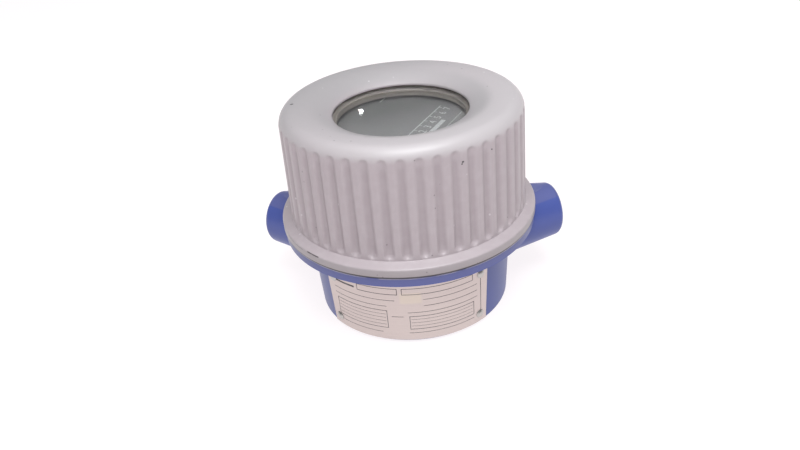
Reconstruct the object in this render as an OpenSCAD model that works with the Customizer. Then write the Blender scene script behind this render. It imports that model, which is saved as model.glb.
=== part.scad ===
// Field temperature transmitter: a round cast housing with two conduit hubs,
// a fluted screw cover with a window, and a terminal module inside.
// Millimetres, +Z up. The origin is the centre of the housing's foot.
// The data plate faces -Y.

/* [Housing] */
// Height of the seal face above the foot
base_h = 46.6; // [45:0.2:52]
// Diameter of the housing wall at its foot
foot_d = 97; // [95:0.5:100]
// Draft of the housing wall in degrees
wall_draft = 2.7; // [1.5:0.1:3.5]
// Width of the rim outside the band that guides the cover
rim_w = 9.6; // [8.6:0.1:10.6]
// Height of the rim's upright edge
rim_t = 4.2; // [3:0.1:5]
// Slope of the rim's underside in degrees
rim_slope = 12; // [5:1:18]
// Bore of the housing's cavity
cavity_d = 87; // [85:0.5:88]
// Thickness of the housing's floor
floor_t = 6; // [5:0.5:7]
// Chamfer round the foot
foot_chamfer = 1.2; // [0.6:0.1:1.8]

/* [Neck] */
// Diameter of the plain band that guides the cover
pilot_d = 104.8; // [103.5:0.1:105.5]
// Height of that plain band
pilot_h = 3; // [2:0.5:4]
// Depth of the thread zone below the plain band, on radius
thread_relief = 1.3; // [1:0.1:1.6]
// Wall of the neck inside its thread
neck_wall = 4.6; // [4:0.1:4.9]
// Height of the neck above the seal face
neck_h = 20; // [18:0.5:22]
// Chamfer at the neck's mouth
neck_chamfer = 1.2; // [0.6:0.1:1.6]

/* [Conduit hubs] */
// Angle by which each hub is swept back, in degrees
hub_sweep = 20; // [10:1:26]
// Distance of a hub's axis from the housing's centre line
hub_offset = 5.6; // [2:0.2:8]
// Distance of a hub's end face along its axis
hub_reach = 76.9; // [75:0.1:80]
// Diameter of a hub at its end
hub_d = 28; // [26.5:0.1:28.5]
// Taper of a hub in degrees
hub_taper = 8.5; // [6:0.5:9]
// Rounding of a hub's end
hub_round = 3.1; // [2:0.1:3.6]
// Drop of a hub's axis below the seal face
hub_drop = 15.1; // [14.5:0.1:17]
// Drop of the hub's faced top below the seal face
hub_top_drop = 0.5; // [0.3:0.1:1]
// Diameter of the conduit entry's bore
entry_d = 19.8; // [18:0.1:20.5]
// Depth of the conduit entry's bore
entry_depth = 18; // [15:0.5:20]
// Diameter of the wire passage behind the entry
passage_d = 15; // [12:0.5:16]

/* [Cover] */
// Height of the cover over its flange's underside
cover_h = 57.9; // [57:0.1:62]
// Gap between the cover's flange and the rim
seal_gap = 0.5; // [0.4:0.1:0.8]
// Overhang of the cover's flange past the rim
flange_over = 0.6; // [0.2:0.1:1.6]
// Height of the flange's upright edge
flange_t = 4.4; // [3.8:0.1:5]
// Rise of the flange's sloping top
flange_rise = 1.5; // [1:0.1:2]
// Width of the flange's sloping top
flange_ledge = 4.4; // [3.8:0.1:4.8]
// Draft of the fluted skirt in degrees
skirt_draft = 1.2; // [0.6:0.1:1.6]
// Rounding of the crown's outer edge
crown_round = 4.6; // [3.5:0.1:5.5]
// Width of the flat between that rounding and the fall towards the window
crown_flat = 0.1; // [0.1:0.1:1]
// Radius of the arc in which the crown falls
dip_arc_r = 40; // [38:0.5:42]
// Thread clearance between the cover's bore and the guide band, on radius
pilot_clear = 0.08; // [0.05:0.01:0.1]
// Height of the cover's threaded bore
cover_bore_h = 24.5; // [24:0.5:27]
// Radial step of the hollow above that bore
hollow_step = 2.5; // [2:0.1:3]
// Thickness of the crown
crown_t = 7.5; // [6.5:0.1:8]

/* [Flutes] */
// Number of flutes round the cover
flute_count = 47; // [40:1:50]
// Radius of the flutes' hollow
flute_r = 2.4; // [2.2:0.1:2.7]
// Depth of the flutes
flute_depth = 1.45; // [1.2:0.05:1.6]
// Height of the flutes' lower ends over the flange's underside
flute_start = 6.3; // [6:0.1:8]
// Distance of the flutes' upper ends below the crown
flute_stop = 4.9; // [4.8:0.1:6]
// Lean of the flutes in degrees, a little less than the skirt's draft
flute_lean = 0.7; // [0.5:0.1:0.9]
// Turn of the first flute, as a share of the flutes' pitch
flute_turn_share = 0.742; // [0.6:0.001:0.9]

/* [Window] */
// Diameter of the window opening
window_d = 65; // [64:0.5:66]
// Rounding of the window's edge
edge_round = 1.1; // [0.9:0.1:1.3]
// Straight height of the lip under that rounding
lip_t = 0.2; // [0.2:0.1:0.8]
// Width of the glass under the lip round the window
glass_over = 4; // [3.4:0.1:4.2]
// Thickness of the glass
glass_t = 5; // [4.5:0.1:5.4]
// Thickness of the gasket over the glass
gasket_t = 0.6; // [0.5:0.1:0.8]
// Width by which the gasket shows inside the window's edge
gasket_show = 0.4; // [0.2:0.1:0.6]
// Height of the ring that holds the glass
ring_h = 3; // [2.6:0.1:3.2]
// Radial width of that ring
ring_w = 3.4; // [3:0.1:3.8]
// Wall of the boss round the glass
boss_wall = 4.6; // [4:0.1:5]
// Clearance round the glass and its ring
glass_clear = 0.15; // [0.1:0.01:0.2]

/* [Cover seal] */
// Thickness of the round seal
seal_cord_d = 3; // [2.6:0.1:3.2]
// Distance of the seal's mid line outside the guide band
seal_out = 4.8; // [4.5:0.1:5.1]
// Running clearance round the seal
seal_clear = 0.3; // [0.25:0.01:0.35]

/* [Terminal module] */
// Diameter of the module's case
case_d = 66; // [64:0.5:68]
// Height of the module's case
case_h = 44; // [42:0.5:45]
// Wall of the module's case
case_wall = 2.4; // [2:0.1:3]
// Height of the posts that carry the module
post_h = 6; // [5:0.5:7]
// Radius of the posts and of the case's ears
post_r = 5; // [4.5:0.1:5.2]
// Distance of the posts from the centre
post_at = 37.5; // [37:0.1:38]
// Thickness of the case's ears
ear_t = 5; // [4:0.5:6]
// Thickness of the circuit board
board_t = 1.6; // [1.2:0.1:2]
// Height of the board's underside over the case's foot
board_at = 8; // [7:0.5:10]
// Thickness of the case's base plate
base_plate_t = 2.2; // [1.8:0.1:2.6]

/* [Terminals] */
// Terminals on the sensor block
sensor_ways = 4; // [3:1:4]
// Terminals on the loop block
loop_ways = 3; // [2:1:3]
// Distance from one terminal to the next
way_pitch = 11; // [10:0.1:11.2]
// Depth of a terminal block
block_depth = 15; // [14:0.1:16]
// Height of a terminal block's bed
bed_h = 5; // [4:0.1:6]
// Height of the barriers over the bed
barrier_h = 6; // [5.5:0.1:7]
// Thickness of a barrier
barrier_t = 1.6; // [1.2:0.1:2]
// Distance of a block's centre from the case's centre
block_at = 14; // [13:0.1:14.5]
// Thickness of a terminal's clamp plate
clamp_t = 1; // [0.8:0.1:1.2]

/* [Label plate] */
// Diameter of the label plate under the window
label_plate_d = 78; // [76:0.5:82]
// Thickness of the label plate
label_plate_t = 1.3; // [1:0.1:1.6]
// Thickness of the label on it
label_t = 0.3; // [0.2:0.05:0.4]
// Gap between the label and the boss round the glass
label_gap = 0.8; // [0.6:0.1:1.2]
// Width across the flats of the pillars under the plate
pillar_flats = 5.5; // [5:0.1:6]
// Distance of the pillars from the centre
pillar_at = 26.5; // [26:0.1:27]

/* [Data plate] */
// Angle that the data plate covers, in degrees
plate_angle = 97; // [80:1:100]
// Height of the data plate
plate_h = 33.4; // [30:0.1:34]
// Height of the plate's lower edge over the foot
plate_at = 2; // [1.6:0.1:2.6]
// Thickness of the data plate
plate_t = 0.8; // [0.5:0.1:1.2]
// Distance of the plate's screws from its upper and lower edges
plate_screw_inset = 4.8; // [4:0.1:6]
// Angle between the plate's side edges and its screws
plate_screw_angle = 5; // [4:0.5:6]

/* [Fasteners] */
// Diameter of the housing's and the module's screws
screw_d = 4; // [3.5:0.1:4.2]
// Diameter of the label plate's screws
small_screw_d = 3; // [2.5:0.1:3]
// Clearance of a fastener in its hole, on radius
screw_clear = 0.05; // [0.03:0.01:0.1]
// Side of the ground clamps
ground_clamp = 9; // [8:0.1:10]
// Diameter of the mounting holes in the foot
mount_hole_d = 6.8; // [6:0.1:7]
// Depth of the mounting holes
mount_hole_depth = 10; // [8:0.5:11]
// Distance between the mounting holes
mount_spacing = 48; // [46:0.5:50]

/* [Hidden] */
$fn = 96;
over = 1;
seat_gap = 0.05;
blue = [0.30, 0.35, 0.70];
grey = [0.78, 0.75, 0.77];
steel = [0.78, 0.76, 0.73];
brass = [0.80, 0.66, 0.35];

// Housing
foot_r = foot_d / 2;
pilot_r = pilot_d / 2;
rim_r = pilot_r + rim_w;
cavity_r = cavity_d / 2;
rim_under_z = base_h - rim_t;
function wall_r(z) = foot_r + z * tan(wall_draft);
rim_root_z = rim_under_z - (rim_r - wall_r(rim_under_z)) * tan(rim_slope);

// Neck
thread_r = pilot_r - thread_relief;
neck_bore_r = thread_r - neck_wall;
neck_top_z = base_h + neck_h;
ledge_z = base_h - rim_t;

// Hubs
hub_axis_z = base_h - hub_drop;
hub_tip_r = hub_d / 2;
hub_root_x = cavity_r * cos(hub_sweep);
hub_top_z = base_h - hub_top_drop;

// Cover, in heights over the flange's underside
cover_z = base_h + seal_gap;
flange_r = rim_r + flange_over;
flange_top_h = flange_t + flange_rise;
skirt_r = flange_r - flange_ledge;
function skirt_r_at(h) = skirt_r - (h - flange_top_h) * tan(skirt_draft);
bore_r = pilot_r + pilot_clear;
bore_lead = thread_relief / 2;
hollow_r = bore_r - hollow_step;
hollow_top_h = cover_h - crown_t;
hollow_round = crown_round;
corner_r = skirt_r_at(cover_h - crown_round) - crown_round;
dip_r = corner_r - crown_flat;
dip_middle = [dip_r, cover_h - dip_arc_r];
flute_batch = 6;
window_r = window_d / 2;
edge_at_r = window_r + edge_round;
edge_at_h = dip_middle[1] + sqrt(pow(dip_arc_r - edge_round, 2) - pow(dip_r - edge_at_r, 2));
glass_r = window_r + glass_over;
glass_seat_r = glass_r + glass_clear;
lip_under_h = edge_at_h - lip_t;
glass_top_h = lip_under_h - gasket_t;
glass_under_h = glass_top_h - glass_t;
ring_under_h = glass_under_h - ring_h;
boss_lip_share = 0.1;
boss_under_h = ring_under_h - boss_lip_share * ring_h;
ring_slot_depth_share = 0.5;
ring_slot_w = ring_w;

// Seal
seal_r = pilot_r + seal_out;
seal_cord_r = seal_cord_d / 2;
seal_axis_z = base_h + seal_clear + seal_cord_r;
groove_half_w = seal_cord_r + seal_clear;
groove_top_h = seal_axis_z + seal_cord_r + seal_clear - cover_z;

// Module
case_r = case_d / 2;
post_top_z = floor_t + post_h;
case_z = post_top_z;
case_top_z = case_z + case_h;
case_in_r = case_r - case_wall;
board_r = case_in_r - seat_gap;
board_z = case_z + board_at;
board_top_z = board_z + board_t;
shelf_w = case_wall / 2;
ear_root_r = case_in_r + case_wall / 2;
post_angles = [90, 210, 330];
base_ring_w = 2 * shelf_w;

// Terminals
block_margin = barrier_t;
bed_top_z = case_top_z + bed_h;
clamp_w_share = 0.66;
clamp_d_share = 0.56;
clamp_w = clamp_w_share * way_pitch;
clamp_d = clamp_d_share * block_depth;
pin_r = clamp_t;
pin_clear = 2 * screw_clear;
pin_y_share = 0.4;

// Label plate
label_top_z = cover_z + boss_under_h - label_gap;
label_plate_top_z = label_top_z - label_t;
label_plate_z = label_plate_top_z - label_plate_t;
label_plate_r = label_plate_d / 2;
label_margin = 1;
pillar_angles = [15, 165, 270];
pillar_r = pillar_flats / sqrt(3);

// Fasteners
screw_r = screw_d / 2;
small_screw_r = small_screw_d / 2;
head_r_share = 1.9;
head_h_share = 1.2;
screw_head_r = head_r_share * screw_r;
screw_head_h = head_h_share * screw_r;
slot_w_share = 0.22;
slot_depth_share = 0.45;
drive_pin_r = small_screw_r * 0.6;
drive_head_r = small_screw_r * 1.5;
drive_head_h = small_screw_r * 0.7;
drive_pin_h = 4 * drive_pin_r;
clamp_plate_t = screw_r / 2;

// Ground points and lock screw
ground_z = base_h / 2 - screw_r;
ground_boss_r = ground_clamp * 0.8;
ground_face_r = wall_r(ground_z) + screw_r;
inner_ground_angle = 270;
inner_ground_at = cavity_r - 2 * screw_r;
inner_ground_r = screw_head_r + screw_r / 3;
inner_ground_z = case_z + case_h / 2;
lock_angle = 118;
lock_boss_r = 2 * screw_r + screw_r / 4;
lock_at = rim_r - lock_boss_r;
lock_boss_h = 3 * screw_r;
lock_length = 5 * screw_r;
mount_boss_r = mount_hole_d * 1.3;
mount_boss_top = mount_hole_depth + mount_hole_d / 4;

// A screw head with a rounded top and a driver slot, seated at z = 0
module screw_head(r, h) {
    cap_r = (r * r + h * h) / (2 * h);
    difference() {
        intersection() {
            translate([0, 0, h - cap_r]) sphere(r = cap_r);
            cylinder(h = h, r = r);
        }
        translate([-r - over, -slot_w_share * r, h * (1 - slot_depth_share)])
            cube([2 * (r + over), 2 * slot_w_share * r, h]);
    }
}

// A slotted screw: the head sits at z = 0 and the shank goes down
module screw(shank_r, length, head_r, head_h) {
    screw_head(head_r, head_h);
    translate([0, 0, -length]) cylinder(h = length, r = shank_r);
}

// Moves its children out to a distance on the wall, with +Z turned outwards
module on_wall(angle, r, z) {
    rotate([0, 0, angle]) translate([r, 0, z]) rotate([0, 90, 0]) children();
}

// Puts its children on both sides, mirrored
module both_sides() {
    children();
    mirror([1, 0, 0]) children();
}

// Moves its children to a hub's axis, with +Z along it and z = 0 beside the centre line
module along_hub() {
    rotate([0, 0, hub_sweep]) translate([0, -hub_offset, hub_axis_z]) rotate([0, 90, 0]) children();
}

// Outline of a hub: tapered, with a rounded end
module hub_profile() {
    corner_r = hub_tip_r - hub_round;
    corner_h = hub_reach - hub_round;
    tangent = [corner_r + hub_round * cos(hub_taper), corner_h + hub_round * sin(hub_taper)];
    root_h = hub_root_x;
    polygon([
        [0, root_h],
        [tangent[0] + (tangent[1] - root_h) * tan(hub_taper), root_h],
        tangent,
        [corner_r, hub_reach],
        [0, hub_reach]
    ]);
    translate([corner_r, corner_h]) circle(r = hub_round);
}

module hub() {
    intersection() {
        along_hub() rotate_extrude() hub_profile();
        cylinder(h = hub_top_z, r = hub_reach + hub_d);
    }
}

// Outline of the housing with its rim and neck
module housing_profile() {
    polygon([
        [0, 0],
        [foot_r - foot_chamfer, 0],
        [wall_r(foot_chamfer), foot_chamfer],
        [wall_r(rim_root_z), rim_root_z],
        [rim_r, rim_under_z],
        [rim_r, base_h],
        [pilot_r, base_h],
        [pilot_r, base_h + pilot_h],
        [thread_r, base_h + pilot_h + thread_relief],
        [thread_r, neck_top_z - neck_chamfer],
        [thread_r - neck_chamfer, neck_top_z],
        [0, neck_top_z]
    ]);
}

module housing_cavity() {
    translate([0, 0, floor_t]) cylinder(h = ledge_z - floor_t + over, r = cavity_r);
    translate([0, 0, ledge_z]) cylinder(h = base_h, r = neck_bore_r);
}

// Pads inside the cavity: module posts, bosses over the mounting holes, ground post
module housing_posts() {
    for (angle = post_angles)
        rotate([0, 0, angle]) translate([post_at, 0, 0]) cylinder(h = post_top_z, r = post_r);
    for (side = [-1, 1])
        translate([side * mount_spacing / 2, 0, 0]) cylinder(h = mount_boss_top, r = mount_boss_r);
    rotate([0, 0, inner_ground_angle]) translate([inner_ground_at, 0, 0])
        cylinder(h = inner_ground_z, r = inner_ground_r);
}

module housing_holes() {
    both_sides() along_hub() {
        translate([0, 0, hub_reach - entry_depth]) cylinder(h = entry_depth + over, r = entry_d / 2);
        cylinder(h = hub_reach, r = passage_d / 2);
    }
    for (angle = post_angles)
        rotate([0, 0, angle]) translate([post_at, 0, post_top_z - post_h])
            cylinder(h = post_h + over, r = screw_r + screw_clear);
    for (side = [-1, 1])
        translate([side * mount_spacing / 2, 0, -over])
            cylinder(h = mount_hole_depth + over, r = mount_hole_d / 2);
    rotate([0, 0, inner_ground_angle])
        translate([inner_ground_at, 0, inner_ground_z - 4 * screw_r])
            cylinder(h = 4 * screw_r + over, r = screw_r + screw_clear);
    on_wall(90, ground_face_r - 3 * screw_r, ground_z)
        cylinder(h = 3 * screw_r + over, r = screw_r + screw_clear);
    rotate([0, 0, lock_angle]) translate([lock_at, 0, -over])
        cylinder(h = base_h + 2 * over, r = screw_r + screw_clear);
    plate_screw_places() translate([0, 0, -drive_pin_h - over])
        cylinder(h = drive_pin_h + 2 * over, r = drive_pin_r + screw_clear);
}

module housing() {
    color(blue) difference() {
        union() {
            difference() {
                union() {
                    rotate_extrude() housing_profile();
                    both_sides() hub();
                    on_wall(90, cavity_r + (wall_r(ground_z) - cavity_r) / 2, ground_z)
                        cylinder(h = ground_face_r - cavity_r - (wall_r(ground_z) - cavity_r) / 2, r = ground_boss_r);
                    rotate([0, 0, lock_angle]) translate([lock_at, 0, rim_root_z - lock_boss_h])
                        cylinder(h = lock_boss_h + rim_under_z - rim_root_z, r = lock_boss_r);
                }
                housing_cavity();
            }
            housing_posts();
        }
        housing_holes();
    }
}

// Data plate, bent round the wall and following its draft
plate_mid_z = plate_at + plate_h / 2;
plate_screw_zs = [plate_at + plate_screw_inset, plate_at + plate_h - plate_screw_inset];
plate_screw_sides = plate_angle / 2 - plate_screw_angle;

// Runs its children at each screw of the plate, at the plate's back, +Z outwards
module plate_screw_places() {
    for (z = plate_screw_zs, side = [-1, 1])
        rotate([0, 0, 270 + side * plate_screw_sides])
            translate([wall_r(z) + seat_gap, 0, z]) rotate([0, 90 + wall_draft, 0]) rotate([0, 0, 90])
                children();
}

module data_plate() {
    top_z = plate_at + plate_h;
    color(steel) difference() {
        rotate([0, 0, 270 - plate_angle / 2]) rotate_extrude(angle = plate_angle) polygon([
            [wall_r(plate_at) + seat_gap, plate_at],
            [wall_r(plate_at) + seat_gap + plate_t, plate_at],
            [wall_r(top_z) + seat_gap + plate_t, top_z],
            [wall_r(top_z) + seat_gap, top_z]
        ]);
        plate_screw_places() translate([0, 0, -over])
            cylinder(h = plate_t + 2 * over, r = drive_pin_r + screw_clear);
    }
}

module plate_drive_screws() {
    cap_r = (drive_head_r * drive_head_r + drive_head_h * drive_head_h) / (2 * drive_head_h);
    color(steel) plate_screw_places() {
        translate([0, 0, plate_t + seat_gap]) intersection() {
            translate([0, 0, drive_head_h - cap_r]) sphere(r = cap_r);
            cylinder(h = drive_head_h, r = drive_head_r);
        }
        translate([0, 0, -drive_pin_h]) cylinder(h = drive_pin_h + plate_t + seat_gap, r = drive_pin_r);
    }
}

// A square clamp plate with a turned-down lip, seated at z = 0
module ground_plate() {
    side = ground_clamp;
    difference() {
        union() {
            translate([-side / 2, -side / 2, 0]) cube([side, side, clamp_plate_t]);
            translate([-side / 2, -side / 2, 0]) cube([clamp_plate_t, side, 2 * clamp_plate_t]);
        }
        translate([0, 0, -over]) cylinder(h = 2 * over + clamp_plate_t, r = screw_r + screw_clear);
    }
}

module outer_ground_clamp() {
    color(brass) on_wall(90, ground_face_r, ground_z) ground_plate();
}

module outer_ground_screw() {
    color(steel) on_wall(90, ground_face_r + clamp_plate_t, ground_z)
        screw(screw_r, 3 * screw_r, screw_head_r - screw_r / 2, screw_head_h);
}

module inner_ground_place() {
    rotate([0, 0, inner_ground_angle]) translate([inner_ground_at, 0, inner_ground_z]) children();
}

module inner_ground_clamp() {
    color(brass) inner_ground_place() difference() {
        cylinder(h = clamp_plate_t, r = screw_head_r);
        translate([0, 0, -over]) cylinder(h = 2 * over + clamp_plate_t, r = screw_r + screw_clear);
    }
}

module inner_ground_screw() {
    color(steel) inner_ground_place() translate([0, 0, clamp_plate_t])
        screw(screw_r, 4 * screw_r, screw_head_r - screw_r / 2, screw_head_h);
}

// Socket set screw under the rim that locks the cover
module cover_lock_screw() {
    color(steel) rotate([0, 0, lock_angle])
        translate([lock_at, 0, base_h - seal_gap - lock_length]) difference() {
            cylinder(h = lock_length, r = screw_r);
            translate([0, 0, -over]) cylinder(h = screw_r + over, r = screw_r / sqrt(3), $fn = 6);
        }
}

// Outline of the cover's outside
module cover_outside() {
    corner = [corner_r, cover_h - crown_round];
    edge_chamfer = flange_rise / 2;
    polygon([
        [0, 0],
        [flange_r, 0],
        [flange_r, flange_t - edge_chamfer],
        [flange_r - edge_chamfer, flange_t + edge_chamfer / 2],
        [skirt_r, flange_top_h],
        [corner[0] + crown_round * cos(skirt_draft), corner[1] + crown_round * sin(skirt_draft)],
        [corner[0], cover_h],
        [0, cover_h]
    ]);
    translate(corner) circle(r = crown_round);
}

// What the crown loses: the fall in one arc, then the rounding of the window's edge
module cover_dip() {
    edge_middle = [edge_at_r, edge_at_h];
    touch = dip_middle + (dip_arc_r + over) / (dip_arc_r - edge_round) * (edge_middle - dip_middle);
    difference() {
        square([dip_r, cover_h + over]);
        translate(dip_middle) circle(r = dip_arc_r);
        square([dip_r, edge_at_h]);
    }
    difference() {
        polygon([
            [0, edge_at_h],
            edge_middle,
            touch,
            [window_r, cover_h],
            [0, cover_h]
        ]);
        translate(edge_middle) circle(r = edge_round);
    }
}

// Outline of the cover's inside: threaded bore, hollow, boss round the glass, window
module cover_inside() {
    difference() {
        polygon([
            [0, -over],
            [bore_r + bore_lead, -over],
            [bore_r + bore_lead, 0],
            [bore_r, bore_lead],
            [bore_r, cover_bore_h],
            [hollow_r, cover_bore_h + hollow_step],
            [hollow_r, hollow_top_h - hollow_round],
            [hollow_r - hollow_round, hollow_top_h],
            [0, hollow_top_h]
        ]);
        translate([glass_seat_r, boss_under_h])
            square([boss_wall, hollow_top_h - boss_under_h + over]);
    }
    square([glass_seat_r, lip_under_h]);
    square([window_r, cover_h + over]);
}

// One flute: a long round-ended hollow that leans in with the skirt
module flute() {
    low_h = flute_start + flute_r;
    high_h = cover_h - flute_stop - flute_r;
    length = (high_h - low_h) / cos(flute_lean);
    translate([skirt_r_at(low_h) - flute_depth + flute_r, 0, low_h]) rotate([0, -flute_lean, 0])
        rotate_extrude() {
            square([flute_r, length]);
            intersection() {
                union() {
                    circle(r = flute_r);
                    translate([0, length]) circle(r = flute_r);
                }
                translate([0, -flute_r]) square([flute_r, length + 2 * flute_r]);
            }
        }
}

// The cover before its flutes are cut
module cover_blank() {
    rotate_extrude() difference() {
        cover_outside();
        cover_dip();
        cover_inside();
        translate([seal_r - groove_half_w, -over]) square([2 * groove_half_w, groove_top_h + over]);
    }
}

// Cuts the flutes in batches, because a few cuts at a time stay exact
module fluted_cover(count) {
    if (count <= 0)
        cover_blank();
    else
        difference() {
            fluted_cover(count - flute_batch);
            for (i = [max(count - flute_batch, 0) : count - 1])
                rotate([0, 0, (i + flute_turn_share) * 360 / flute_count]) flute();
        }
}

module cover() {
    color(grey) translate([0, 0, cover_z]) fluted_cover(flute_count);
}

module window_gasket() {
    color([0.12, 0.10, 0.10]) translate([0, 0, cover_z + glass_top_h]) difference() {
        cylinder(h = gasket_t, r = glass_r);
        translate([0, 0, -over]) cylinder(h = gasket_t + 2 * over, r = window_r - gasket_show);
    }
}

module window_glass() {
    color([0.80, 0.88, 0.86, 0.35]) translate([0, 0, cover_z + glass_under_h])
        cylinder(h = glass_t, r = glass_r);
}

// Ring that is screwed in under the glass, with two spanner slots
module glass_retaining_ring() {
    color(steel) translate([0, 0, cover_z + ring_under_h]) difference() {
        cylinder(h = ring_h, r = glass_r);
        translate([0, 0, -over]) cylinder(h = ring_h + 2 * over, r = glass_r - ring_w);
        translate([-glass_r - over, -ring_slot_w / 2, -over])
            cube([2 * (glass_r + over), ring_slot_w, ring_slot_depth_share * ring_h + over]);
    }
}

module cover_seal() {
    color([0.08, 0.08, 0.09]) translate([0, 0, seal_axis_z])
        rotate_extrude() translate([seal_r, 0]) circle(r = seal_cord_r);
}

// Runs its children at each post, z = 0 on the case's foot
module at_posts() {
    for (angle = post_angles)
        rotate([0, 0, angle]) translate([post_at, 0, case_z]) children();
}

// Positions of a block's terminals, from its centre
function way_xs(ways) = [for (i = [0 : ways - 1]) (i - (ways - 1) / 2) * way_pitch];

// Runs its children at each terminal, z = 0 on the bed; the pins lie towards the centre
module at_terminals() {
    for (x = way_xs(sensor_ways)) translate([x, -block_at, bed_top_z]) children();
    for (x = way_xs(loop_ways)) translate([x, block_at, bed_top_z]) rotate([0, 0, 180]) children();
}

module case_ear() {
    cylinder(h = ear_t, r = post_r);
    translate([ear_root_r - post_at, -post_r, 0]) cube([post_at - ear_root_r, 2 * post_r, ear_t]);
}

module module_case() {
    color([0.16, 0.17, 0.18]) difference() {
        union() {
            translate([0, 0, case_z]) cylinder(h = case_h, r = case_r);
            at_posts() case_ear();
        }
        translate([0, 0, case_z - over]) cylinder(h = board_at + board_t + over, r = case_in_r);
        translate([0, 0, board_top_z - seat_gap])
            cylinder(h = case_top_z - case_wall - board_top_z + seat_gap, r = case_in_r - shelf_w);
        at_posts() translate([0, 0, -over]) cylinder(h = ear_t + 2 * over, r = screw_r + screw_clear);
        at_terminals() translate([0, pin_y_share * block_depth, -bed_h - case_wall - over])
            cylinder(h = bed_h + case_wall + over, r = pin_r + pin_clear);
        for (angle = pillar_angles)
            rotate([0, 0, angle]) translate([pillar_at, 0, case_top_z - case_wall - over])
                cylinder(h = case_wall + 2 * over, r = small_screw_r + screw_clear);
    }
}

// Base plate of the case, with a ring that holds the board against its shelf
module module_base_plate() {
    color([0.20, 0.21, 0.22]) translate([0, 0, case_z]) difference() {
        cylinder(h = board_at - seat_gap, r = board_r);
        translate([0, 0, base_plate_t]) cylinder(h = board_at, r = board_r - base_ring_w);
    }
}

module module_screws() {
    color(steel) at_posts() translate([0, 0, ear_t])
        screw(screw_r, ear_t + post_h - screw_r / 2, screw_head_r, screw_head_h);
}

module circuit_board() {
    color([0.10, 0.35, 0.18]) translate([0, 0, board_z]) difference() {
        cylinder(h = board_t, r = board_r);
        at_terminal_pins() translate([0, 0, -over]) cylinder(h = board_t + 2 * over, r = pin_r + pin_clear);
    }
}

// Runs its children at each terminal pin, at z = 0
module at_terminal_pins() {
    translate([0, 0, -bed_top_z]) at_terminals() translate([0, pin_y_share * block_depth, 0]) children();
}

// Sizes of the board's parts, as shares of the board's radius
core_share = 0.42;
core_h_share = 0.36;
can_share = 0.13;
can_h_share = 0.5;
chip_share = 0.3;
chip_h_share = 0.08;
chip_side_share = 0.68;
can_end_share = 0.2;
can_gap = 0.35;
bobbin_share = 0.6;

module isolation_transformer() {
    core = core_share * board_r;
    core_h = core_h_share * board_r;
    color([0.25, 0.24, 0.23]) translate([0, 0, board_top_z]) {
        translate([-core / 2, -core / 2 * bobbin_share, 0]) cube([core, core * bobbin_share, core_h]);
        translate([-core / 2 * bobbin_share, -core / 2, core_h / 5]) cube([core * bobbin_share, core, 3 * core_h / 5]);
    }
}

// Four capacitors, two beyond each outer pin
module board_capacitors() {
    can_r = can_share * board_r;
    can_x = (sensor_ways - 1) / 2 * way_pitch + pin_r + can_gap + can_r;
    color([0.15, 0.17, 0.35])
        for (side = [-1, 1], end = [-1, 1])
            translate([side * can_x, end * can_end_share * board_r, board_top_z])
                cylinder(h = can_h_share * board_r, r = can_r);
}

module board_chips() {
    chip = chip_share * board_r;
    color([0.07, 0.07, 0.08])
        for (side = [-1, 1])
            translate([-chip / 2, side * chip_side_share * board_r - chip / 3, board_top_z])
                cube([chip, 2 * chip / 3, chip_h_share * board_r]);
}

module terminal_pins() {
    color(brass) at_terminal_pins() translate([0, 0, board_z])
        cylinder(h = bed_top_z - board_z, r = pin_r);
}

// A barrier strip with a wall on each side of every terminal
module terminal_block(ways) {
    block_w = ways * way_pitch + block_margin;
    difference() {
        union() {
            translate([-block_w / 2, -block_depth / 2, 0]) cube([block_w, block_depth, bed_h]);
            for (i = [0 : ways])
                translate([-block_w / 2 + i * way_pitch, -block_depth / 2, 0])
                    cube([barrier_t, block_depth, bed_h + barrier_h]);
        }
        for (x = way_xs(ways)) {
            translate([x, 0, -over]) cylinder(h = bed_h + 2 * over, r = small_screw_r + screw_clear);
            translate([x, pin_y_share * block_depth, -over])
                cylinder(h = bed_h + 2 * over, r = pin_r + pin_clear);
        }
    }
}

module sensor_terminal_block() {
    color([0.10, 0.10, 0.11]) translate([0, -block_at, case_top_z]) terminal_block(sensor_ways);
}

module loop_terminal_block() {
    color([0.10, 0.10, 0.11]) translate([0, block_at, case_top_z]) rotate([0, 0, 180])
        terminal_block(loop_ways);
}

// Clamp plates that reach over the pins and carry the terminal screws
module terminal_clamps() {
    reach = pin_y_share * block_depth + pin_r;
    color(brass) at_terminals() difference() {
        translate([-clamp_w / 2, -clamp_d / 2, 0]) cube([clamp_w, clamp_d / 2 + reach, clamp_t]);
        translate([0, 0, -over]) cylinder(h = clamp_t + 2 * over, r = small_screw_r + screw_clear);
    }
}

module terminal_screws() {
    color(steel) at_terminals() translate([0, 0, clamp_t])
        screw(small_screw_r, bed_h, small_screw_r * head_r_share, small_screw_r * head_h_share);
}

// Hexagonal pillars with a stud into the case and a tapped top
module label_pillars() {
    height = label_plate_z - case_top_z;
    color(steel) for (angle = pillar_angles)
        rotate([0, 0, angle]) translate([pillar_at, 0, case_top_z]) difference() {
            union() {
                cylinder(h = height, r = pillar_r, $fn = 6);
                translate([0, 0, -case_wall]) cylinder(h = case_wall, r = small_screw_r);
            }
            translate([0, 0, height - 3 * small_screw_r])
                cylinder(h = 3 * small_screw_r + over, r = small_screw_r + screw_clear);
        }
}

module at_label_screws() {
    for (angle = pillar_angles)
        rotate([0, 0, angle]) translate([pillar_at, 0, label_plate_top_z]) children();
}

// A countersunk head, flush at z = 0
module sunk_head(gap) {
    head_r = 2 * small_screw_r + gap;
    sunk = label_plate_t * 0.8;
    translate([0, 0, -sunk]) cylinder(h = sunk, r1 = head_r - sunk, r2 = head_r);
}

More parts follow.
